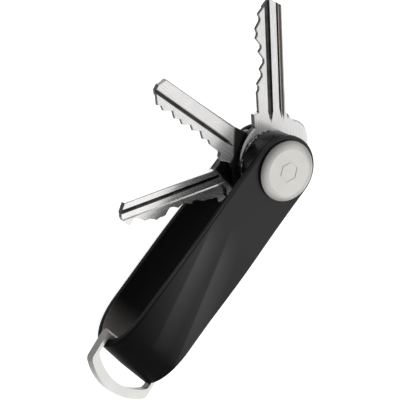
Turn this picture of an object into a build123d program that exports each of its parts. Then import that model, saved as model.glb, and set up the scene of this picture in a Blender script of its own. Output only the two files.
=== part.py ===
"""Key organiser: a moulded loop strap that closes on a screw pivot, with keys that swing out of it.

Frame: X across the strap, +Y along the strap from the ring end to the pivot, +Z along the pivot
towards the front disc. The origin is the centre of the back disc's outer face, which the object
rests on. Millimetres.
"""
from build123d import *
import os

os.makedirs("parts", exist_ok=True)

# Strap
strap_width = 20.5
strap_thick = 2.0
half_width = strap_width / 2
disc_proud = 1.6                                   # how far the back disc stands out of the strap
stack_height = 16.8                                # outer face to outer face of the loop at the pivot
back_outer = disc_proud
back_inner = back_outer + strap_thick
front_outer = back_outer + stack_height
front_inner = front_outer - strap_thick
bulge_y = -36.0                                    # where the two layers stand widest apart
front_bulge = 0.5
back_bulge = 0.9
bend_start_y = -58.0
bend_mid_z = 9.7
bend_length = 14.4                                 # half axes of the bend's outer ellipse
bend_height = 8.95
strap_hole_radius = 5.4

# Discs, barrel and screw
disc_radius = 9.0
disc_flat_radius = 6.7
disc_seat_radius = 8.7                             # where a disc meets the strap
front_disc_height = 1.8
dome_middle_radius = 7.9                           # the domed edge halfway out, and its drop there
dome_middle_drop = 0.38
front_rim_low = 0.35                               # heights of the front disc's straight rim
front_rim_high = 0.85
back_face_radius = 8.0
back_rim_low = 0.5                                 # heights of the back disc's straight rim
back_rim_high = 1.25
boss_height = 1.7
boss_radius = 4.4
bush_bore_radius = 4.45
barrel_radius = 2.6
barrel_inset = 0.15                                # how far the barrel sits into the back disc
thread_radius = 2.0
thread_depth = 8.0
stud_radius = 1.95
stud_length = 6.4
stud_chamfer = 0.4
head_radius = 4.6
head_recess_radius = 4.7
head_inset = 0.1
head_height = 1.0
head_chamfer = 0.15
head_clearance = 0.05
coin_slot_width = 1.8
coin_slot_depth = 0.6
seal_ring_radius = 3.2
seal_section_radius = 0.4
seal_clearance = 0.1
seal_gap = 0.03
mark_across_flats = 5.4
mark_line = 0.3
mark_depth = 0.12

# Keys
key_thick = 1.85
washer_thick = 0.08
key_gap = 0.02                                     # running gap on each face of a key
key_hole_radius = 2.68
groove_depth = 0.45
groove_taper = 4.4                                 # length over which a groove runs out
bitting_thick = 1.1
edge_break = 0.12
bow_bevel_width = 0.55
bow_bevel_depth = 0.35

# Washers and spacer
washer_radius = 6.5
pressure_washer_high = 10.75
spacer_radius = 10.0
spacer_chamfer = 0.15
post_clearance = 0.1

# D-ring, drawn in its own plane with the bar's axis at the origin
ring_bar_y = -68.2
ring_bar_z = 10.0
ring_bar_radius = 1.3
ring_depth = 2.85
ring_arm_outer = 11.9
ring_arm_inner = 10.8
ring_outer_length = 8.4                            # bar to where the outer arc meets the arms' lines
ring_inner_length = 5.8
ring_bottom_outer = 12.6
ring_bottom_inner = 9.6
ring_corner_outer = 2.2
ring_corner_inner = 1.8
ring_arm_end_round = 1.2
ring_tilt = -8.0                                   # the ring lies tipped towards the front disc

# Heights of the stack, from the back layer forwards
key_pitch = key_thick + washer_thick + 2 * key_gap
key_3_z = back_inner + washer_thick + key_gap
key_2_z = key_3_z + key_pitch
key_1_z = key_2_z + key_pitch
barrel_low = back_inner - barrel_inset
barrel_high = front_outer + 0.7


def tube(outer_radius, inner_radius, low, high):
    """A straight ring about the pivot axis between two heights."""
    outside = Pos(0, 0, (low + high) / 2) * Cylinder(outer_radius, high - low)
    bore = Pos(0, 0, (low + high) / 2) * Cylinder(inner_radius, high - low + 2)
    return outside - bore


def disc(radius, low, high):
    """A plain round slug about the pivot axis between two heights."""
    return Pos(0, 0, (low + high) / 2) * Cylinder(radius, high - low)


def loop_side(inset):
    """The loop's side outline, drawn in from its outer surface: front run, bend, back run."""
    top = front_outer - inset
    bottom = back_outer + inset
    reach = bend_height - inset
    front_flat = Line((half_width, top), (-half_width, top))
    front_run = Spline((-half_width, top), (bulge_y, top + front_bulge),
                       (bend_start_y, bend_mid_z + reach), tangents=[(-1, 0), (-1, 0)])
    bend = EllipticalCenterArc((bend_start_y, bend_mid_z), bend_length - inset, reach,
                               start_angle=90, arc_size=180)
    back_run = Spline((bend_start_y, bend_mid_z - reach), (bulge_y, bottom - back_bulge),
                      (-half_width, bottom), tangents=[(1, 0), (1, 0)])
    back_flat = Line((-half_width, bottom), (half_width, bottom))
    return [front_flat, front_run, bend, back_run, back_flat]


def make_strap():
    """The loop: one band of even thickness, round at both ends, with a hole at each end."""
    outer = loop_side(0)
    inner = loop_side(strap_thick)
    front_end = Line((half_width, front_outer), (half_width, front_inner))
    back_end = Line((half_width, back_outer), (half_width, back_inner))
    side = make_face(outer + inner + [front_end, back_end])
    band = extrude(Plane.YZ * side, half_width, both=True)
    length = half_width - ring_bar_y + bend_length
    plan = Pos(0, -length / 2, 0) * Rectangle(strap_width, length) + Circle(half_width)
    band = band & extrude(plan, front_outer + 5)
    return band - disc(strap_hole_radius, 0, front_outer + 5)


def make_front_disc():
    """Cap with a flat face, a domed edge and a boss through the strap; a plain hexagon is engraved."""
    top = front_outer + front_disc_height
    rim_low = front_outer + front_rim_low
    rim_high = front_outer + front_rim_high
    boss_end = front_outer - boss_height
    dome = ThreePointArc((disc_flat_radius, top), (dome_middle_radius, top - dome_middle_drop),
                         (disc_radius, rim_high))
    section = make_face([
        Line((0, boss_end), (0, top)),
        Line((0, top), (disc_flat_radius, top)),
        dome,
        Line((disc_radius, rim_high), (disc_radius, rim_low)),
        Line((disc_radius, rim_low), (disc_seat_radius, front_outer)),
        Line((disc_seat_radius, front_outer), (boss_radius, front_outer)),
        Line((boss_radius, front_outer), (boss_radius, boss_end)),
        Line((boss_radius, boss_end), (0, boss_end)),
    ])
    cap = revolve(Plane.XZ * section, Axis.Z)
    cap -= disc(barrel_radius, front_inner - 1, barrel_high)
    hexagon = RegularPolygon(mark_across_flats / 2, 6, major_radius=False)
    inside = RegularPolygon(mark_across_flats / 2 - mark_line, 6, major_radius=False)
    return cap - Pos(0, 0, top - mark_depth) * extrude(hexagon - inside, 1)


def make_back_disc():
    """Seat ring for the screw, with a groove for the seal and a boss through the strap."""
    boss_end = back_outer + boss_height
    section = make_face(Polyline(
        (0, 0), (back_face_radius, 0), (disc_radius, back_rim_low), (disc_radius, back_rim_high),
        (disc_seat_radius, back_outer), (boss_radius, back_outer), (boss_radius, boss_end),
        (0, boss_end), close=True))
    seat = revolve(Plane.XZ * section, Axis.Z)
    head_room = head_inset + head_height + head_clearance
    seat -= disc(head_recess_radius, -1, head_room)
    groove_half = seal_section_radius + seal_clearance
    seat -= tube(seal_ring_radius + groove_half, seal_ring_radius - groove_half,
                 head_room - 0.5, head_room + 2 * seal_section_radius)
    return seat - disc(stud_radius + seal_clearance, -1, front_outer)


def make_lock_screw():
    """Flat-headed screw with a coin slot, turned from the back."""
    stud_low = head_inset + head_height
    head = disc(head_radius, head_inset, stud_low)
    head = chamfer(head.edges().sort_by(Axis.Z)[0], head_chamfer)
    slot = Box(4 * head_radius, coin_slot_width, 2 * (head_inset + coin_slot_depth))
    stud = disc(stud_radius, stud_low, stud_low + stud_length)
    return head - slot + chamfer(stud.edges().sort_by(Axis.Z)[-1], stud_chamfer)


def make_seal():
    """O-ring that lies round the stud, under the screw's head."""
    seal_z = head_inset + head_height + seal_gap + seal_section_radius
    return Pos(0, 0, seal_z) * Torus(seal_ring_radius, seal_section_radius)


def make_barrel():
    """The post that the keys turn on, bored for the screw from its lower end."""
    post = disc(barrel_radius, barrel_low, barrel_high)
    return post - disc(thread_radius, barrel_low - 1, barrel_low + thread_depth)


def washer(radius, low, high):
    """Flat washer round the barrel, between two heights."""
    return tube(radius, barrel_radius + post_clearance, low, high)


def make_spacer():
    """Thick spacer under the front layer, with both rims broken."""
    body = washer(spacer_radius, pressure_washer_high, front_inner)
    rims = body.edges().filter_by(GeomType.CIRCLE).group_by(SortBy.RADIUS)[-1]
    return chamfer(rims, spacer_chamfer)


def milled_groove(section, run_out, taper, point_x):
    """A lengthwise groove of the given cross-section that the cutter leaves in a point near the bow."""
    start = run_out + taper
    face = Pos(0, start, 0) * (Plane.XZ * make_face(Polyline(*section, close=True)))
    point = loft([face, Vertex(point_x, run_out, key_thick + 0.1)])
    return extrude(face, 60, dir=(0, 1, 0)) + point


def front_groove(low_x, high_x, run_out, depth=groove_depth, taper=groove_taper, point_x=None,
                 high_slope=0.2):
    """Groove with sloping sides, cut into the key's front face."""
    floor_z = key_thick - depth
    above = key_thick + 0.1
    section = [(low_x, above), (low_x, key_thick), (low_x + 0.2, floor_z),
               (high_x - high_slope, floor_z), (high_x, key_thick), (high_x, above)]
    if point_x is None:
        point_x = (low_x + high_x) / 2
    return milled_groove(section, run_out, taper, point_x)


def back_groove(low_x, high_x, run_out):
    """The same groove on the back face."""
    centred = front_groove(low_x, high_x, run_out).move(Pos(0, 0, -key_thick / 2))
    return mirror(centred, Plane.XY).move(Pos(0, 0, key_thick / 2))


def make_bow(points):
    """The key's rounded head, with a bevel round both faces."""
    plate = extrude(make_face(Spline(*points, periodic=True)), key_thick)
    for face in (plate.faces().sort_by(Axis.Z)[0], plate.faces().sort_by(Axis.Z)[-1]):
        plate = chamfer(face.edges(), bow_bevel_width, bow_bevel_depth, reference=face)
    return plate


def make_key(blade, bow, grooves, bitting, bitting_start):
    """A flat cylinder key, lying along +Y with its pivot hole at the origin and its cuts on -X."""
    body = extrude(make_face(Polyline(*blade, close=True)), key_thick)
    body = chamfer(body.faces().filter_by(Axis.Z).edges(), edge_break)
    for groove in grooves:
        body -= groove
    face = Pos(0, bitting_start, 0) * (Plane.XZ * make_face(Polyline(*bitting, close=True)))
    body -= extrude(face, 60, dir=(0, 1, 0))
    return body + make_bow(bow) - Cylinder(key_hole_radius, 20)


def thinned_from_back(edge_x):
    """Cross-section of what is milled off the back along the cuts, up to edge_x."""
    high = key_thick - bitting_thick
    outside = edge_x - 20
    return [(outside, -1), (edge_x + 0.5, -1), (edge_x + 0.5, 0), (edge_x, high), (outside, high)]


def thinned_from_front(edge_x):
    """Cross-section of what is milled off the front along the cuts, with a slope up to the face."""
    outside = edge_x - 20
    slope_top = edge_x + 0.85
    return [(outside, key_thick + 1), (slope_top, key_thick + 1), (slope_top, key_thick),
            (edge_x + 0.1, bitting_thick + 0.2), (edge_x, bitting_thick), (outside, bitting_thick)]


def d_outline(side, arm_length, bottom, corner, top):
    """A D with straight arms, a shallow arc and its flat end at y=top."""
    arms = make_face(Polyline((side, top), (side, -arm_length), (-side, -arm_length),
                              (-side, top), close=True))
    arc = ThreePointArc((-side, -arm_length), (0, -bottom), (side, -arm_length))
    face = arms + make_face([arc, Line((side, -arm_length), (-side, -arm_length))])
    corners = face.vertices().filter_by(lambda v: abs(v.Y + arm_length) < 0.01)
    return fillet(corners, corner)


def make_d_ring():
    """Flat-sided D: two thin arms with round ends, a deeper bow, and a round bar inside the bend."""
    outer = d_outline(ring_arm_outer, ring_outer_length, ring_bottom_outer, ring_corner_outer,
                      ring_bar_radius)
    inner = d_outline(ring_arm_inner, ring_inner_length, ring_bottom_inner, ring_corner_inner,
                      3 * ring_bar_radius)
    bow = extrude(outer - inner, ring_depth / 2, both=True)
    arm_ends = bow.edges().filter_by(Axis.X).filter_by(lambda e: e.center().Y > 0)
    bow = fillet(arm_ends, ring_arm_end_round)
    bar = Rot(0, 90, 0) * Cylinder(ring_bar_radius, 2 * ring_arm_inner + 0.2)
    return Pos(0, ring_bar_y, ring_bar_z) * Rot(ring_tilt, 0, 0) * (bow + bar)


key_1 = make_key(
    blade=[(-3.0, 6.0), (-4.1, 12.0), (-4.2, 14.7), (-4.1, 15.5), (-2.55, 15.8), (-2.6, 19.7),
           (-2.7, 21.7), (-2.15, 22.5), (-2.1, 23.5), (-2.55, 24.3), (-0.75, 26.4), (-0.85, 27.3),
           (-1.45, 28.5), (0.0, 30.2), (0.0, 31.3), (-1.65, 33.7), (-0.8, 34.7), (-0.8, 35.6),
           (-2.5, 37.8), (-2.0, 38.6), (-1.9, 39.3), (-2.4, 40.6), (-0.85, 42.7), (-0.85, 43.6),
           (-1.4, 44.7), (2.8, 48.6), (6.7, 46.1), (6.8, 21.0), (6.95, 14.2), (7.7, 13.5),
           (7.9, 13.0), (8.6, 12.1), (9.5, 11.2), (7.0, 6.0)],
    bow=[(-4.0, 11.4), (-7.0, 8.7), (-9.1, 4.6), (-9.4, 0.0), (-7.6, -4.3), (-3.0, -7.6),
         (2.5, -8.6), (8.0, -7.5), (12.3, -4.2), (14.4, 0.5), (14.5, 5.2), (12.8, 9.4), (9.6, 11.4),
         (3.0, 12.3)],
    grooves=[front_groove(0.7, 2.5, 11.0, 0.6),
             front_groove(4.6, 5.3, 11.5, 0.6, point_x=5.5),
             front_groove(5.4, 6.4, 10.4, 0.4, point_x=6.1),
             front_groove(7.05, 8.1, 11.6, 0.7, taper=2.6),
             back_groove(3.2, 4.9, 12.0)],
    bitting=thinned_from_back(0.2),
    bitting_start=15.9)

key_2 = make_key(
    blade=[(-4.5, 5.0), (-6.4, 11.4), (-7.1, 13.3), (-6.45, 14.4), (-5.3, 14.9), (-5.25, 16.0),
           (-5.2, 18.0), (-5.1, 19.6), (-4.25, 21.0), (-5.0, 22.8), (-3.45, 24.9), (-4.65, 27.3),
           (-3.6, 28.9), (-4.95, 31.4), (-4.0, 33.0), (-4.8, 34.7), (-3.3, 36.7), (-4.8, 39.4),
           (-4.05, 40.8), (-4.55, 42.0), (-1.4, 45.0), (0.3, 45.2), (2.9, 43.9), (2.95, 30.0),
           (3.2, 15.8), (3.5, 13.5), (3.8, 11.9), (4.1, 10.2), (3.0, 5.0)],
    bow=[(-6.3, 10.6), (-7.7, 8.1), (-9.4, 6.2), (-10.8, 2.6), (-10.4, -2.2), (-6.6, -6.6),
         (-1.0, -8.0), (4.6, -7.0), (8.0, -3.6), (8.7, 1.0), (7.4, 5.8), (4.4, 9.5), (0.0, 11.0)],
    grooves=[front_groove(-2.15, -0.85, 10.5, 0.6, high_slope=0.55),
             front_groove(2.6, 5.0, 14.6, 0.2),
             back_groove(0.4, 2.0, 13.0)],
    bitting=thinned_from_back(-2.6),
    bitting_start=15.2)

key_3 = make_key(
    blade=[(-6.0, 4.0), (-7.8, 10.0), (-7.8, 13.2), (-8.6, 14.6), (-8.6, 15.7), (-6.9, 16.1),
           (-6.5, 18.8), (-6.5, 20.5), (-5.3, 22.8), (-5.2, 23.9), (-6.0, 24.8), (-4.8, 27.2),
           (-5.7, 29.2), (-4.9, 30.5), (-4.7, 31.8), (-5.1, 32.4), (-6.4, 33.6), (-6.6, 34.4),
           (-6.5, 35.5), (-6.9, 36.7), (-6.2, 37.8), (-5.85, 38.8), (-5.8, 40.6), (-4.75, 41.9),
           (-4.0, 43.1), (-4.05, 43.9), (-5.4, 45.3), (-5.25, 46.0), (-2.95, 47.8), (-1.9, 48.1),
           (-0.6, 47.8), (0.6, 47.1), (1.85, 46.3), (1.95, 30.0), (1.8, 17.2), (1.95, 16.1),
           (2.45, 15.1), (3.1, 14.3), (4.2, 13.2), (3.0, 6.0)],
    bow=[(-7.6, 11.4), (-10.4, 8.6), (-11.8, 3.7), (-10.4, -1.4), (-6.7, -5.6), (-0.8, -7.2),
         (5.0, -5.5), (8.7, -1.3), (10.0, 3.7), (8.6, 8.8), (4.3, 13.2), (-1.2, 14.4)],
    grooves=[front_groove(-1.05, 0.15, 12.6, 0.5, taper=1.2),
             back_groove(-2.6, -0.8, 12.0)],
    bitting=thinned_from_front(-3.5),
    bitting_start=13.0)


def swung(key, angle, low):
    """A key turned about the pivot from +Y towards -X, and lifted to its place in the stack."""
    return Pos(0, 0, low) * Rot(0, 0, angle) * key


nodes = {
    "strap": make_strap(),
    "front_disc": make_front_disc(),
    "back_disc": make_back_disc(),
    "pivot_barrel": make_barrel(),
    "lock_screw": make_lock_screw(),
    "screw_seal": make_seal(),
    "front_bush": tube(strap_hole_radius, bush_bore_radius, front_inner, front_outer),
    "back_bush": tube(strap_hole_radius, bush_bore_radius, back_outer, back_inner),
    "front_spacer": make_spacer(),
    "washer_front": washer(spacer_radius, key_1_z + key_thick + key_gap, pressure_washer_high),
    "washer_1_2": washer(washer_radius, key_2_z + key_thick + key_gap, key_1_z - key_gap),
    "washer_2_3": washer(washer_radius, key_3_z + key_thick + key_gap, key_2_z - key_gap),
    "washer_back": washer(washer_radius, back_inner, key_3_z - key_gap),
    "key_1": swung(key_1, 46.7, key_1_z),
    "key_2": swung(key_2, 96.0, key_2_z),
    "key_3": swung(key_3, 142.8, key_3_z),
    "d_ring": make_d_ring(),
}

for name, shape in nodes.items():
    export_step(shape, f"parts/{name}.step")
    box = shape.bounding_box()
    print(name, round(shape.volume, 2), [round(v, 2) for v in (*box.min, *box.max)])
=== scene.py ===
import math

import bmesh
import bpy
from mathutils import Matrix, Vector


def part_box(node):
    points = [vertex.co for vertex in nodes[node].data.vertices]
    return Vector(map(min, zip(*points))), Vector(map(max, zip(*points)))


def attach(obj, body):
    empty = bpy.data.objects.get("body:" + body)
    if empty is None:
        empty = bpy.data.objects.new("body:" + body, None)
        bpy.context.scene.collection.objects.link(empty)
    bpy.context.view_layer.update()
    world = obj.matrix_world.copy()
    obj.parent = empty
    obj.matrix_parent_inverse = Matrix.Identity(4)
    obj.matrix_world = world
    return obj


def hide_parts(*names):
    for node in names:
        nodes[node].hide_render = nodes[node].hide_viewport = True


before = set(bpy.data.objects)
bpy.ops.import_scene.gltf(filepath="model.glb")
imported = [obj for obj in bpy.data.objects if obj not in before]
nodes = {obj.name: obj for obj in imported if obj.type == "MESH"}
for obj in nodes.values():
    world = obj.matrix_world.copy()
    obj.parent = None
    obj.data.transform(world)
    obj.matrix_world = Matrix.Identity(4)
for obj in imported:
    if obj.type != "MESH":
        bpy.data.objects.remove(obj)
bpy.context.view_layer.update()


# ---------------------------------------------------------------------------------------------
# Strap: one moulded band of black elastomer, folded round into a loop with a hole at each end.
# Its front face carries low folded facets, and every rim is softly rounded by the mould.
# ---------------------------------------------------------------------------------------------
mm = 0.001

strap_half = 10.25 * mm
strap_wall = 2.0 * mm
strap_hole = 5.4 * mm
front_face_z = 18.4 * mm
back_face_z = 1.6 * mm
bulge_y = -36.0 * mm
front_bulge_z = 18.9 * mm
back_bulge_z = 0.7 * mm
bend_y = -58.0 * mm
bend_z = 9.7 * mm
bend_long = 14.4 * mm
bend_high = 8.95 * mm
rim_round = 0.4 * mm
near_skew = 0.8 * mm
far_skew = 0.6 * mm

across_cells = 32
side_cells = 16
arc_cells = 44
radial_cuts = 6
run_cells = 60
bend_cells = 48
weld_gap = 0.01 * mm
edge_slack = 0.0001 * mm


def clamped(share):
    """A share kept between none and all."""
    return max(0.0, min(1.0, share))


def ease(a, b, share):
    """A smooth step from a to b."""
    return a + (b - a) * share * share * (3 - 2 * share)


def run_height(y, end_z, middle_z, bend_end_z):
    """Height of a run of the loop at y: flat at the hole, fullest at the bulge, flat at the bend."""
    if y > bulge_y:
        return ease(end_z, middle_z, (-strap_half - y) / (-strap_half - bulge_y))
    return ease(middle_z, bend_end_z, (bulge_y - y) / (bulge_y - bend_y))


def loop_line():
    """The loop's outer line as (y, z), from the front hole, round the bend, to the back hole."""
    line = []
    for i in range(run_cells):
        y = -strap_half + (bend_y + strap_half) * i / run_cells
        line.append((y, run_height(y, front_face_z, front_bulge_z, bend_z + bend_high)))
    for i in range(bend_cells + 1):
        turn = math.pi * i / bend_cells
        line.append((bend_y - bend_long * math.sin(turn), bend_z + bend_high * math.cos(turn)))
    for i in range(run_cells):
        y = bend_y + (-strap_half - bend_y) * (i + 1) / run_cells
        line.append((y, run_height(y, back_face_z, back_bulge_z, bend_z - bend_high)))
    return line


def end_outline():
    """The outline round a hole: along the band's edge, up one side, round the end, down the other."""
    points = []
    for i in range(across_cells):
        points.append((-strap_half + 2 * strap_half * i / across_cells, -strap_half))
    for i in range(side_cells):
        points.append((strap_half, -strap_half + strap_half * i / side_cells))
    for i in range(arc_cells):
        turn = math.pi * i / arc_cells
        points.append((strap_half * math.cos(turn), strap_half * math.sin(turn)))
    for i in range(side_cells):
        points.append((-strap_half, -strap_half * i / side_cells))
    return points


# Each crease runs from one (x, y) to another, in millimetres. The facets grow in after the disc,
# and fade out before the bend turns over.
facet_creases = (((-9.6, -27.0), (-0.6, -66.0)), ((-2.2, -27.0), (9.8, -66.0)))
facet_rise = 0.06
facet_width = 6.0
facets_begin_y = -24 * mm
facets_grow_over = 8 * mm
facets_end_y = -70 * mm
facets_fade_over = 9 * mm


def facet_height(x, y):
    """How far the folded facets sink the front face at (x, y): furthest one width past a crease."""
    high = 0.0
    share = clamped((facets_begin_y - y) / facets_grow_over)
    share *= clamped((y - facets_end_y) / facets_fade_over)
    for (x0, y0), (x1, y1) in facet_creases:
        away = x / mm - (x0 + (x1 - x0) * (y / mm - y0) / (y1 - y0))
        if 0 < away < facet_width:
            high += facet_rise * away
        elif away >= facet_width:
            high += facet_rise * max(0.0, 2 * facet_width - away)
    return -high * share * mm


# One end is a circle at the hole, spread out to the band's outline.
line = loop_line()
outline = end_outline()
bm = bmesh.new()
hole = bmesh.ops.create_circle(bm, cap_ends=False, radius=strap_hole, segments=len(outline))
inner_ring = hole["verts"]
bmesh.ops.extrude_edge_only(bm, edges=bm.edges[:])
partner = {}
for edge in bm.edges:
    a, b = edge.verts
    if (a in inner_ring) != (b in inner_ring):
        partner[a if a in inner_ring else b] = b if a in inner_ring else a
for inside, (x, y) in zip(inner_ring, outline):
    reach = math.hypot(x, y)
    inside.co = Vector((x, y, 0)) * (strap_hole / reach)
    partner[inside].co = Vector((x, y, 0))
radials = [e for e in bm.edges if (e.verts[0] in inner_ring) != (e.verts[1] in inner_ring)]
bmesh.ops.subdivide_edges(bm, edges=radials, cuts=radial_cuts)
end_geometry = bm.verts[:] + bm.edges[:] + bm.faces[:]

# The other end is its copy turned round, and rows of cells run from one to the other.
far = bmesh.ops.duplicate(bm, geom=end_geometry)
far_verts = [g for g in far["geom"] if isinstance(g, bmesh.types.BMVert)]
rows = len(line) - 1
span = rows * mm
bmesh.ops.rotate(bm, verts=far_verts, matrix=Matrix.Rotation(math.pi, 3, "Z"))
bmesh.ops.translate(bm, verts=far_verts, vec=(0, -2 * strap_half - span, 0))
row = [e for e in bm.edges if all(abs(v.co.y + strap_half) < edge_slack for v in e.verts)]
for _ in range(rows):
    grown = bmesh.ops.extrude_edge_only(bm, edges=row)["geom"]
    edge_verts = [g for g in grown if isinstance(g, bmesh.types.BMVert)]
    bmesh.ops.translate(bm, verts=edge_verts, vec=(0, -mm, 0))
    row = [g for g in grown if isinstance(g, bmesh.types.BMEdge)
           and all(v in edge_verts for v in g.verts)]
bmesh.ops.remove_doubles(bm, verts=bm.verts[:], dist=weld_gap)
bmesh.ops.recalc_face_normals(bm, faces=bm.faces[:])

# The flat band is laid along the loop's line, a row of cells to each step of it. The bend leans
# a little, but not its far lower corner, where the D-ring folds back against it.
for v in bm.verts:
    down = -strap_half - v.co.y
    if down <= 0:
        v.co.z = front_face_z
    elif down >= span:
        v.co = Vector((v.co.x, -strap_half + (down - span), back_face_z))
    else:
        y, z = line[round(down / mm)]
        share = clamped((bend_y - y) / bend_long)
        lift = ease(0, 1, (z - back_face_z) / (front_face_z - back_face_z))
        skew = far_skew * lift if v.co.x > 0 else near_skew
        v.co = Vector((v.co.x, y - skew * ease(0, 1, share) * v.co.x / strap_half, z))
bmesh.ops.recalc_face_normals(bm, faces=bm.faces[:])
bmesh.ops.solidify(bm, geom=bm.faces[:], thickness=strap_wall)
bmesh.ops.recalc_face_normals(bm, faces=bm.faces[:])

# Only the outer skin of the front layer is faceted, and then every rim is rounded.
skin_low = front_face_z - 0.3 * strap_wall
facing_down = -0.5
rim_angle = math.radians(50)
for v in bm.verts:
    if v.co.z > skin_low and v.normal.z > facing_down:
        v.co.z += facet_height(v.co.x, v.co.y)
rims = [e for e in bm.edges if len(e.link_faces) == 2 and e.calc_face_angle() > rim_angle]
bmesh.ops.bevel(bm, geom=rims, offset=rim_round, segments=3, profile=0.5, affect="EDGES",
                material=-1, clamp_overlap=True)
for face in bm.faces:
    face.smooth = True
strap_mesh = bpy.data.meshes.new("strap_band")
bm.to_mesh(strap_mesh)
bm.free()
strap = bpy.data.objects.new("strap_band", strap_mesh)
bpy.context.scene.collection.objects.link(strap)
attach(strap, "housing")
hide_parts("strap")


def put(tree, kind, links=(), **settings):
    """Adds a shader node, with its settings, and its inputs set or joined by name or number."""
    made = tree.nodes.new(kind)
    for name, value in settings.items():
        setattr(made, name, value)
    for socket, value in dict(links).items():
        if isinstance(value, bpy.types.NodeSocket):
            tree.links.new(value, made.inputs[socket])
        else:
            made.inputs[socket].default_value = value
    return made


def new_group(name, inputs, outputs):
    """An empty shader group with float inputs and named outputs."""
    group = bpy.data.node_groups.new(name, "ShaderNodeTree")
    for label, value in inputs.items():
        made = group.interface.new_socket(label, in_out="INPUT", socket_type="NodeSocketFloat")
        made.default_value = value
    for label, kind in outputs.items():
        group.interface.new_socket(label, in_out="OUTPUT", socket_type=kind)
    return group, group.nodes.new("NodeGroupInput"), group.nodes.new("NodeGroupOutput")


def math_node(tree, operation, a, b=0.0, clamp=False):
    """One step of arithmetic on the surface's own values."""
    return put(tree, "ShaderNodeMath", {0: a, 1: b}, operation=operation, use_clamp=clamp).outputs[0]


def ramp(tree, value, low, high, start=0.0, end=1.0):
    """A smooth step of a value between two limits."""
    return put(tree, "ShaderNodeMapRange",
               {"Value": value, "From Min": low, "From Max": high, "To Min": start, "To Max": end},
               interpolation_type="SMOOTHSTEP").outputs[0]


# Most of a noise's values lie between these two.
noise_low = 0.3
noise_high = 0.7
cloud_scale = 140.0
grain_depth = 0.05 * mm


def make_grain():
    """Fine even grain, as blasting or a textured mould leaves it, with faint larger clouds in it."""
    group, given, out = new_group("fine_grain", {"Grains per metre": 3000.0, "Height": 0.3},
                                  {"Speckle": "NodeSocketFloat", "Clouds": "NodeSocketFloat",
                                   "Normal": "NodeSocketVector"})
    place = group.nodes.new("ShaderNodeTexCoord").outputs["Object"]
    speckle = put(group, "ShaderNodeTexNoise",
                  {"Vector": place, "Scale": given.outputs[0], "Detail": 2.0, "Roughness": 0.6})
    grain = speckle.outputs["Fac"]
    clouds = put(group, "ShaderNodeTexNoise", {"Vector": place, "Scale": cloud_scale, "Detail": 2.0})
    bump = put(group, "ShaderNodeBump",
               {"Height": grain, "Strength": given.outputs[1], "Distance": grain_depth})
    group.links.new(grain, out.inputs["Speckle"])
    group.links.new(clouds.outputs["Fac"], out.inputs["Clouds"])
    group.links.new(bump.outputs["Normal"], out.inputs["Normal"])
    return group


fine_grain = make_grain()


def finish(name, colour, roughness, metallic=0.0, spread=0.1, grains=3000.0, height=0.3, worn=0.1,
           **more):
    """A plain finish with fine grain: its tone and its polish both vary a little over the surface."""
    made = bpy.data.materials.new(name)
    made.use_nodes = True
    tree = made.node_tree
    shader = tree.nodes["Principled BSDF"]
    shader.inputs["Metallic"].default_value = metallic
    for label, value in more.items():
        shader.inputs[label.replace("_", " ")].default_value = value
    grain = put(tree, "ShaderNodeGroup", {}, node_tree=fine_grain)
    grain.inputs[0].default_value = grains
    grain.inputs[1].default_value = height
    tone = ramp(tree, grain.outputs["Clouds"], noise_low, noise_high, 1 - worn, 1 + worn)
    tint = put(tree, "ShaderNodeVectorMath", {0: colour, "Scale": tone}, operation="SCALE")
    tree.links.new(tint.outputs[0], shader.inputs["Base Color"])
    rough = ramp(tree, grain.outputs["Speckle"], noise_low, noise_high,
                 roughness - spread / 2, roughness + spread / 2)
    tree.links.new(rough, shader.inputs["Roughness"])
    tree.links.new(grain.outputs["Normal"], shader.inputs["Normal"])
    return made


def dress(obj, material):
    """Gives a piece its finish in place of whatever it came with."""
    obj.data.materials.clear()
    obj.data.materials.append(material)


def over(tree, mask, plain, colour):
    """A colour laid over a plain one where a mask is up."""
    return put(tree, "ShaderNodeMix", {0: mask, 6: plain, 7: colour}, data_type="RGBA").outputs[2]


def both(tree, a, b):
    """A mask that is up where two masks are up."""
    return math_node(tree, "MULTIPLY", a, b)


# Where each part of the sheen and of the painted light starts and where it is full, across, along and up
# the strap.
crease_edge = (-0.3 * mm, 0.4 * mm)
creases_begin = (-21 * mm, -34 * mm)
sheen_end = (-72 * mm, -38 * mm)
sheen_end_slant = 0.75
front_skin = (17.5 * mm, 18.2 * mm)
sheen_between = 0.62
sheen_on_facet = 0.5
facing_up = (0.1, 0.6)
below_middle = (9 * mm, 7 * mm)
painted_light_begin = (-56 * mm, -70 * mm)
# The pale grey painted on the bend's inner floor, as painted light.
painted_light_grey = (0.32, 0.29, 0.27, 1)


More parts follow.
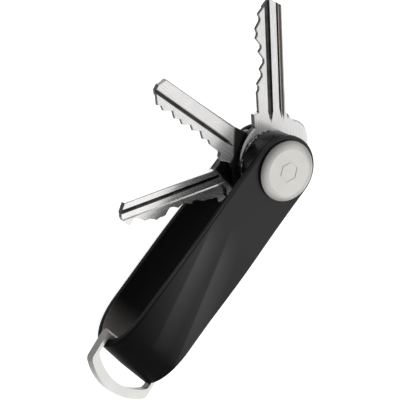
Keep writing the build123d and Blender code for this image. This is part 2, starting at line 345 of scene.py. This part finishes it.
def make_folded_sheen():
    """Sheen on the front face, brightest past each crease; painted light on the bend's inner floor."""
    group, _, out = new_group("folded_sheen", {},
                              {"Sheen": "NodeSocketFloat", "Painted light": "NodeSocketFloat"})
    coords = group.nodes.new("ShaderNodeTexCoord")
    spot = put(group, "ShaderNodeSeparateXYZ", {0: coords.outputs["Object"]})
    slope = put(group, "ShaderNodeSeparateXYZ", {0: coords.outputs["Normal"]})
    x, y, z = spot.outputs["X"], spot.outputs["Y"], spot.outputs["Z"]
    lifted = []
    for (x0, y0), (x1, y1) in facet_creases:
        lean = (x1 - x0) / (y1 - y0)
        line_x = put(group, "ShaderNodeMath", {0: y, 1: lean, 2: (x0 - lean * y0) * mm},
                     operation="MULTIPLY_ADD").outputs[0]
        away = math_node(group, "SUBTRACT", x, line_x)
        lifted.append(both(group, ramp(group, away, *crease_edge),
                           ramp(group, away, 0.0, facet_width * mm, 1.0, 0.0)))
    folds = math_node(group, "ADD", lifted[0], lifted[1])
    folds = both(group, folds, ramp(group, y, *creases_begin))
    slanted = put(group, "ShaderNodeMath", {0: x, 1: sheen_end_slant, 2: y},
                  operation="MULTIPLY_ADD").outputs[0]
    level = put(group, "ShaderNodeMath", {0: folds, 1: sheen_on_facet, 2: sheen_between},
                operation="MULTIPLY_ADD").outputs[0]
    level = both(group, level, ramp(group, slanted, *sheen_end))
    group.links.new(both(group, level, ramp(group, z, *front_skin)), out.inputs["Sheen"])
    inside = both(group, ramp(group, slope.outputs["Z"], *facing_up), ramp(group, z, *below_middle))
    group.links.new(both(group, inside, ramp(group, y, *painted_light_begin)), out.inputs["Painted light"])
    return group


elastomer = finish("satin_elastomer", (0.006, 0.006, 0.0063), 0.5, grains=5000.0, height=0.15,
                   worn=0.06, Specular_IOR_Level=0.06, Coat_Roughness=0.42)
tree = elastomer.node_tree
shader = tree.nodes["Principled BSDF"]
sheen = put(tree, "ShaderNodeGroup", {}, node_tree=make_folded_sheen())
tree.links.new(sheen.outputs["Sheen"], shader.inputs["Coat Weight"])
black = shader.inputs["Base Color"].links[0].from_socket
# The bend's inner floor is painted pale grey where light falls on it: painted light.
tree.links.new(over(tree, sheen.outputs["Painted light"], black, painted_light_grey), shader.inputs["Base Color"])
dress(strap, elastomer)


# ---------------------------------------------------------------------------------------------
# Bushes, spacer and film washers: turned and punched black nylon and film. They line the strap's
# holes, fill the stack behind the front layer, and keep the keys apart.
# ---------------------------------------------------------------------------------------------
gloss_nylon = finish("black_nylon", (0.004, 0.004, 0.0045), 0.28, spread=0.06, grains=1500.0,
                     height=0.08, worn=0.2, Specular_IOR_Level=0.14)
film = finish("washer_film", (0.02, 0.02, 0.02), 0.4, grains=1500.0, height=0.1)
post_gap_radius = 2.7 * mm
spacer_edge = 0.25 * mm
turning_steps = 144
square_corner = 1.0
smooth_angle = math.radians(40)


def turned_ring(name, node, edge):
    """A smooth ring spun to a node's own size, round the post, with both outer rims rounded."""
    (_, _, low), (radius, _, high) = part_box(node)
    bore = post_gap_radius
    bm = bmesh.new()
    profile = ((bore, low), (radius, low), (radius, high), (bore, high))
    corners = [bm.verts.new((r, 0, z)) for r, z in profile]
    section = [bm.edges.new((corners[i], corners[(i + 1) % 4])) for i in range(4)]
    bmesh.ops.spin(bm, geom=corners + section, cent=(0, 0, 0), axis=(0, 0, 1), angle=2 * math.pi,
                   steps=turning_steps, use_merge=True)
    bmesh.ops.recalc_face_normals(bm, faces=bm.faces[:])
    rims = [e for e in bm.edges if e.calc_face_angle(0) > square_corner
            and all(math.hypot(v.co.x, v.co.y) > radius - weld_gap for v in e.verts)]
    bmesh.ops.bevel(bm, geom=rims, offset=edge, segments=3, profile=0.5, affect="EDGES", material=-1)
    for face in bm.faces:
        face.smooth = True
    for e in bm.edges:
        e.smooth = e.calc_face_angle(0) < smooth_angle
    mesh = bpy.data.meshes.new(name)
    bm.to_mesh(mesh)
    bm.free()
    piece = bpy.data.objects.new(name, mesh)
    bpy.context.scene.collection.objects.link(piece)
    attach(piece, "housing")
    return piece


spacer = turned_ring("spacer_ring", "front_spacer", spacer_edge)
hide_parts("front_spacer")
dress(spacer, gloss_nylon)
for name in ("front_bush", "back_bush"):
    dress(nodes[name], gloss_nylon)
for name in ("washer_1_2", "washer_2_3", "washer_back"):
    dress(nodes[name], film)


# ---------------------------------------------------------------------------------------------
# Post, screw and seal: the post and the coin-slot screw are turned from stainless steel, and
# the rubber ring under the screw's head stops it from working loose.
# ---------------------------------------------------------------------------------------------
turned = finish("turned_steel", (0.55, 0.55, 0.56), 0.28, 1.0, grains=2500.0, height=0.15)
for name in ("pivot_barrel", "lock_screw"):
    dress(nodes[name], turned)
dress(nodes["screw_seal"], finish("seal_rubber", (0.015, 0.015, 0.015), 0.45))


# ---------------------------------------------------------------------------------------------
# Pressure washer: a stamped steel washer that presses on the front key. Its edge is scuffed by
# the keys, so it shows light and dark flecks.
# ---------------------------------------------------------------------------------------------
washer_edge = 0.3 * mm
fleck_scale = 900.0
steel_white = (1.0, 0.99, 0.97)

scuffed = bpy.data.materials.new("scuffed_steel")
scuffed.use_nodes = True
tree = scuffed.node_tree
shader = tree.nodes["Principled BSDF"]
shader.inputs["Metallic"].default_value = 1.0
place = tree.nodes.new("ShaderNodeTexCoord").outputs["Object"]
flecks = put(tree, "ShaderNodeTexNoise",
             {"Vector": place, "Scale": fleck_scale, "Detail": 3.0}).outputs["Fac"]
tone = ramp(tree, flecks, 0.42, 0.62, 0.03, 0.5)
tint = put(tree, "ShaderNodeVectorMath", {0: steel_white, "Scale": tone}, operation="SCALE")
tree.links.new(tint.outputs[0], shader.inputs["Base Color"])
tree.links.new(ramp(tree, flecks, 0.35, 0.65, 0.4, 0.2), shader.inputs["Roughness"])
pressure = turned_ring("pressure_washer_ring", "washer_front", washer_edge)
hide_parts("washer_front")
dress(pressure, scuffed)


# ---------------------------------------------------------------------------------------------
# Discs: two stainless discs, turned and then bead-blasted to an even silky grey. The front one
# is fixed to the post, and the back one holds the screw. Rims that face -X are painted darker, as painted
# shade.
# ---------------------------------------------------------------------------------------------
# How far a rim turns towards -X before it takes the painted shade, and how much of it it takes.
rim_lean = (-0.05, -0.55)
rim_share = 0.65
rim_painted_shade = (0.10, 0.10, 0.095, 1)

blasted = finish("bead_blasted_steel", (0.56, 0.55, 0.525), 0.3, 1.0, spread=0.1, grains=6000.0,
                 height=0.3, worn=0.03)
tree = blasted.node_tree
shader = tree.nodes["Principled BSDF"]
lean = put(tree, "ShaderNodeSeparateXYZ", {0: tree.nodes.new("ShaderNodeTexCoord").outputs["Normal"]})
turned_away = ramp(tree, lean.outputs["X"], *rim_lean, 0.0, rim_share)
silky = shader.inputs["Base Color"].links[0].from_socket
tree.links.new(over(tree, turned_away, silky, rim_painted_shade), shader.inputs["Base Color"])
for name in ("front_disc", "back_disc"):
    dress(nodes[name], blasted)


# ---------------------------------------------------------------------------------------------
# Keys: three flat cylinder keys, stamped from nickel-plated brass, with grooves milled along
# the blades and cuts filed into one edge. The faces are polished, and painted shade darkens the cut
# walls.
# ---------------------------------------------------------------------------------------------
nickel_white = (1.0, 0.99, 0.98)
brass_brown = (0.17, 0.12, 0.09, 1)
streak_scale = 6500.0
streak_stretch = (1.0, 0.03, 0.2)
tarnish_scale = 260.0

# How upright a face's normal is, from 0 on a wall to 1 on a flat.
level_face = (0.92, 0.97)
groove_side_top = (0.80, 0.74)
groove_side_foot = (0.3, 0.5)
cut_wall = (0.55, 0.30)
lit_wall = (0.25, 0.55)

# How deep a point lies under the nearer face. A groove's floor lies between the first two, and
# bare brass shows in a narrow band of it.
groove_floor_from = (0.08 * mm, 0.30 * mm)
groove_floor_to = (0.74 * mm, 0.70 * mm)
groove_side_depth = (0.02 * mm, 0.38 * mm)
brass_from = (0.30 * mm, 0.38 * mm)
brass_to = (0.46 * mm, 0.42 * mm)
brass_share = 0.8

# Painted shade on the part of a key near the post, and a painted dark line along the spine of its blade.
bow_edge = (0.6 * mm, -0.5 * mm)
bow_dark = 0.96
spine_soft = 0.15 * mm
spine_dark = 0.7
spine_begin = (14 * mm, 17 * mm)
spine_facing = (0.4, 0.6)


def make_key_plate():
    """Plated key faces, with painted shade by depth under the nearer face and by slope. Turn is the
    blade's angle.
    """
    group, given, out = new_group(
        "key_plate", {"Front": 0.0, "Back": 0.0, "Turn": 0.0, "Shade reach": 0.0, "Shade lean": 0.0,
                      "Shade floor": 0.0, "Spine edge": 1.0},
        {"Colour": "NodeSocketColor", "Roughness": "NodeSocketFloat", "Normal": "NodeSocketVector"})
    coords = group.nodes.new("ShaderNodeTexCoord")
    place = coords.outputs["Object"]
    slope = put(group, "ShaderNodeSeparateXYZ", {0: coords.outputs["Normal"]})
    height = put(group, "ShaderNodeSeparateXYZ", {0: place}).outputs["Z"]
    angle = math_node(group, "MULTIPLY", given.outputs["Turn"], -1.0)
    laid = put(group, "ShaderNodeVectorRotate", {"Vector": place, "Angle": angle},
               rotation_type="Z_AXIS").outputs[0]
    drawn = put(group, "ShaderNodeVectorMath", {0: laid, 1: streak_stretch}, operation="MULTIPLY")
    streaks = put(group, "ShaderNodeTexNoise",
                  {"Vector": drawn.outputs[0], "Scale": streak_scale, "Detail": 3.0}).outputs["Fac"]
    clouds = put(group, "ShaderNodeTexNoise",
                 {"Vector": place, "Scale": tarnish_scale, "Detail": 3.0}).outputs["Fac"]
    # The groove floors and sides, the walls turned away from +Y, the part near the post and the spine
    # line get painted shade.
    upright = math_node(group, "ABSOLUTE", slope.outputs["Z"])
    under_front = math_node(group, "SUBTRACT", given.outputs["Front"], height)
    over_back = math_node(group, "SUBTRACT", height, given.outputs["Back"])
    depth = math_node(group, "MINIMUM", under_front, over_back)
    flat = ramp(group, upright, *level_face)
    milled = both(group, ramp(group, depth, *groove_floor_from), ramp(group, depth, *groove_floor_to))
    floor_shade = both(group, flat, milled)
    sloping = both(group, ramp(group, upright, *groove_side_top), ramp(group, upright, *groove_side_foot))
    slope_shade = both(group, sloping, ramp(group, depth, *groove_side_depth))
    unlit = math_node(group, "SUBTRACT", 1.0, ramp(group, slope.outputs["Y"], *lit_wall))
    wall_shade = both(group, ramp(group, upright, *cut_wall), unlit)
    along = put(group, "ShaderNodeSeparateXYZ", {0: laid})
    leaning = math_node(group, "MULTIPLY", along.outputs["X"], given.outputs["Shade lean"])
    past = math_node(group, "SUBTRACT", along.outputs["Y"], leaning)
    past = math_node(group, "SUBTRACT", past, given.outputs["Shade reach"])
    past_floor = math_node(group, "SUBTRACT", along.outputs["Y"], given.outputs["Shade floor"])
    past = math_node(group, "MINIMUM", past, past_floor)
    shade = ramp(group, past, *bow_edge, 0.0, bow_dark)
    over_spine = math_node(group, "SUBTRACT", along.outputs["X"], given.outputs["Spine edge"])
    spine = both(group, ramp(group, over_spine, 0.0, spine_soft, 0.0, spine_dark),
                 ramp(group, along.outputs["Y"], *spine_begin))
    spine = both(group, spine, ramp(group, slope.outputs["Z"], *spine_facing))
    for dark in (floor_shade, slope_shade, wall_shade, spine):
        shade = math_node(group, "MAXIMUM", shade, dark)
    pale_tone = ramp(group, streaks, noise_low, noise_high, 0.90, 0.95)
    pale = both(group, pale_tone, ramp(group, clouds, noise_low, noise_high, 0.97, 1.03))
    dark_tone = ramp(group, clouds, 0.35, 0.7, 0.01, 0.045)
    tone = put(group, "ShaderNodeMix", {0: shade, 2: pale, 3: dark_tone}, data_type="FLOAT").outputs[0]
    tint = put(group, "ShaderNodeVectorMath", {0: nickel_white, "Scale": tone}, operation="SCALE")
    brassy = both(group, ramp(group, depth, *brass_from), ramp(group, depth, *brass_to))
    brassy = both(group, both(group, brassy, flat), brass_share)
    bump = put(group, "ShaderNodeBump", {"Height": streaks, "Strength": 0.02, "Distance": 0.01 * mm})
    group.links.new(over(group, brassy, tint.outputs[0], brass_brown), out.inputs["Colour"])
    group.links.new(ramp(group, streaks, noise_low, noise_high, 0.2, 0.3), out.inputs["Roughness"])
    group.links.new(bump.outputs["Normal"], out.inputs["Normal"])
    return group


key_plate = make_key_plate()
# The blade's angle in degrees; where the painted shade near the post ends, how much that edge leans and
# how low it may come, in millimetres; where the spine's painted dark line starts; and how mirror-like the
# key is.
key_faces = {"key_1": (46.7, -30.0, 0.0, -30.0, 6.55, 0.36),
             "key_2": (96.0, 13.4, 0.72, 10.3, 2.6, 0.45),
             "key_3": (142.8, 14.4, 0.6, 11.0, 1.7, 0.8)}
for name, (turn, reach, lean, low, spine, metal) in key_faces.items():
    back_face, front_face = (corner[2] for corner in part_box(name))
    plated = bpy.data.materials.new(name + "_nickel")
    plated.use_nodes = True
    tree = plated.node_tree
    shader = tree.nodes["Principled BSDF"]
    shader.inputs["Metallic"].default_value = metal
    plate = put(tree, "ShaderNodeGroup", {}, node_tree=key_plate)
    plate.inputs["Front"].default_value = front_face
    plate.inputs["Back"].default_value = back_face
    plate.inputs["Turn"].default_value = math.radians(turn)
    plate.inputs["Shade reach"].default_value = reach * mm
    plate.inputs["Shade lean"].default_value = lean
    plate.inputs["Shade floor"].default_value = low * mm
    plate.inputs["Spine edge"].default_value = spine * mm
    tree.links.new(plate.outputs["Colour"], shader.inputs["Base Color"])
    tree.links.new(plate.outputs["Roughness"], shader.inputs["Roughness"])
    tree.links.new(plate.outputs["Normal"], shader.inputs["Normal"])
    dress(nodes[name], plated)


# ---------------------------------------------------------------------------------------------
# D-ring: cast in stainless steel and tumbled to a satin finish. Its bar sits in the loop's bend,
# and its walls towards -X are painted greyer than its faces, as painted shade.
# ---------------------------------------------------------------------------------------------
# Which walls take the painted shade: upright ones turned towards -X.
wall_upright = (0.75, 0.4)
wall_turned = (0.3, -0.7)
wall_painted_shade = (0.17, 0.17, 0.165, 1)

ring_steel = finish("ring_steel", (0.80, 0.795, 0.77), 0.34, 0.6, spread=0.06, grains=1200.0,
                    height=0.02, worn=0.04)
tree = ring_steel.node_tree
shader = tree.nodes["Principled BSDF"]
lean = put(tree, "ShaderNodeSeparateXYZ", {0: tree.nodes.new("ShaderNodeTexCoord").outputs["Normal"]})
side = both(tree, ramp(tree, math_node(tree, "ABSOLUTE", lean.outputs["Z"]), *wall_upright),
            ramp(tree, lean.outputs["X"], *wall_turned))
satin = shader.inputs["Base Color"].links[0].from_socket
tree.links.new(over(tree, side, satin, wall_painted_shade), shader.inputs["Base Color"])
dress(nodes["d_ring"], ring_steel)


# ---------------------------------------------------------------------------------------------
# Setting: a white table that gives off most of its own light, so that no shadow shows on it, a
# studio that is brightest overhead on the +X side, one weak softbox, and the camera.
# ---------------------------------------------------------------------------------------------
table_half = 2.0
table_glow = 0.93
bright_way = (0.45, 0.15, 0.88)
bright_from = (0.3, 0.95)
bright_levels = (0.02, 1.08)
backdrop_level = 1.0
lamp_watts = 0.6
lamp_side = 0.7
lamp_spot = Vector((0.75, 0.1, 0.4))
lens_mm = 153.0
sensor_mm = 36.0
camera_spot = (-0.29286, -0.07963, 0.40489)
right = Vector((0.618, 0.585, 0.525))
up = Vector((-0.536, 0.802, -0.263))
back = Vector((-0.575, -0.119, 0.809))

floor_mesh = bpy.data.meshes.new("floor")
bm = bmesh.new()
bmesh.ops.create_grid(bm, x_segments=2, y_segments=2, size=table_half)
bm.to_mesh(floor_mesh)
bm.free()
floor = bpy.data.objects.new("floor", floor_mesh)
bpy.context.scene.collection.objects.link(floor)
dress(floor, finish("white_table", (0.6, 0.6, 0.6), 0.8, grains=400.0, height=0.02, worn=0.005,
                    Emission_Color=(1, 1, 1, 1), Emission_Strength=table_glow))

bpy.context.scene.view_settings.view_transform = "Standard"
world = bpy.data.worlds.new("studio")
world.use_nodes = True
bpy.context.scene.world = world
tree = world.node_tree
sky = tree.nodes["Background"]
way = tree.nodes.new("ShaderNodeTexCoord").outputs["Generated"]
toward = put(tree, "ShaderNodeVectorMath", {0: way, 1: bright_way}, operation="DOT_PRODUCT")
glow = ramp(tree, toward.outputs["Value"], *bright_from, *bright_levels)
seen = put(tree, "ShaderNodeLightPath").outputs["Is Camera Ray"]
strength = put(tree, "ShaderNodeMix", {0: seen, 2: glow, 3: backdrop_level},
               data_type="FLOAT").outputs[0]
tree.links.new(strength, sky.inputs["Strength"])
sky.inputs["Color"].default_value = (1, 1, 1, 1)

lamp_data = bpy.data.lights.new("softbox", "AREA")
lamp_data.energy = lamp_watts
lamp_data.size = lamp_side
lamp = bpy.data.objects.new("softbox", lamp_data)
bpy.context.scene.collection.objects.link(lamp)
lamp_turn = lamp_spot.to_track_quat("Z", "Y").to_matrix().to_4x4()
lamp.matrix_world = Matrix.Translation(lamp_spot) @ lamp_turn

camera_data = bpy.data.cameras.new("camera")
camera_data.lens = lens_mm
camera_data.sensor_width = sensor_mm
camera_data.clip_start = 0.01
camera = bpy.data.objects.new("camera", camera_data)
bpy.context.scene.collection.objects.link(camera)
camera.matrix_world = Matrix.Translation(camera_spot) @ Matrix((right, up, back)).transposed().to_4x4()
bpy.context.scene.camera = camera
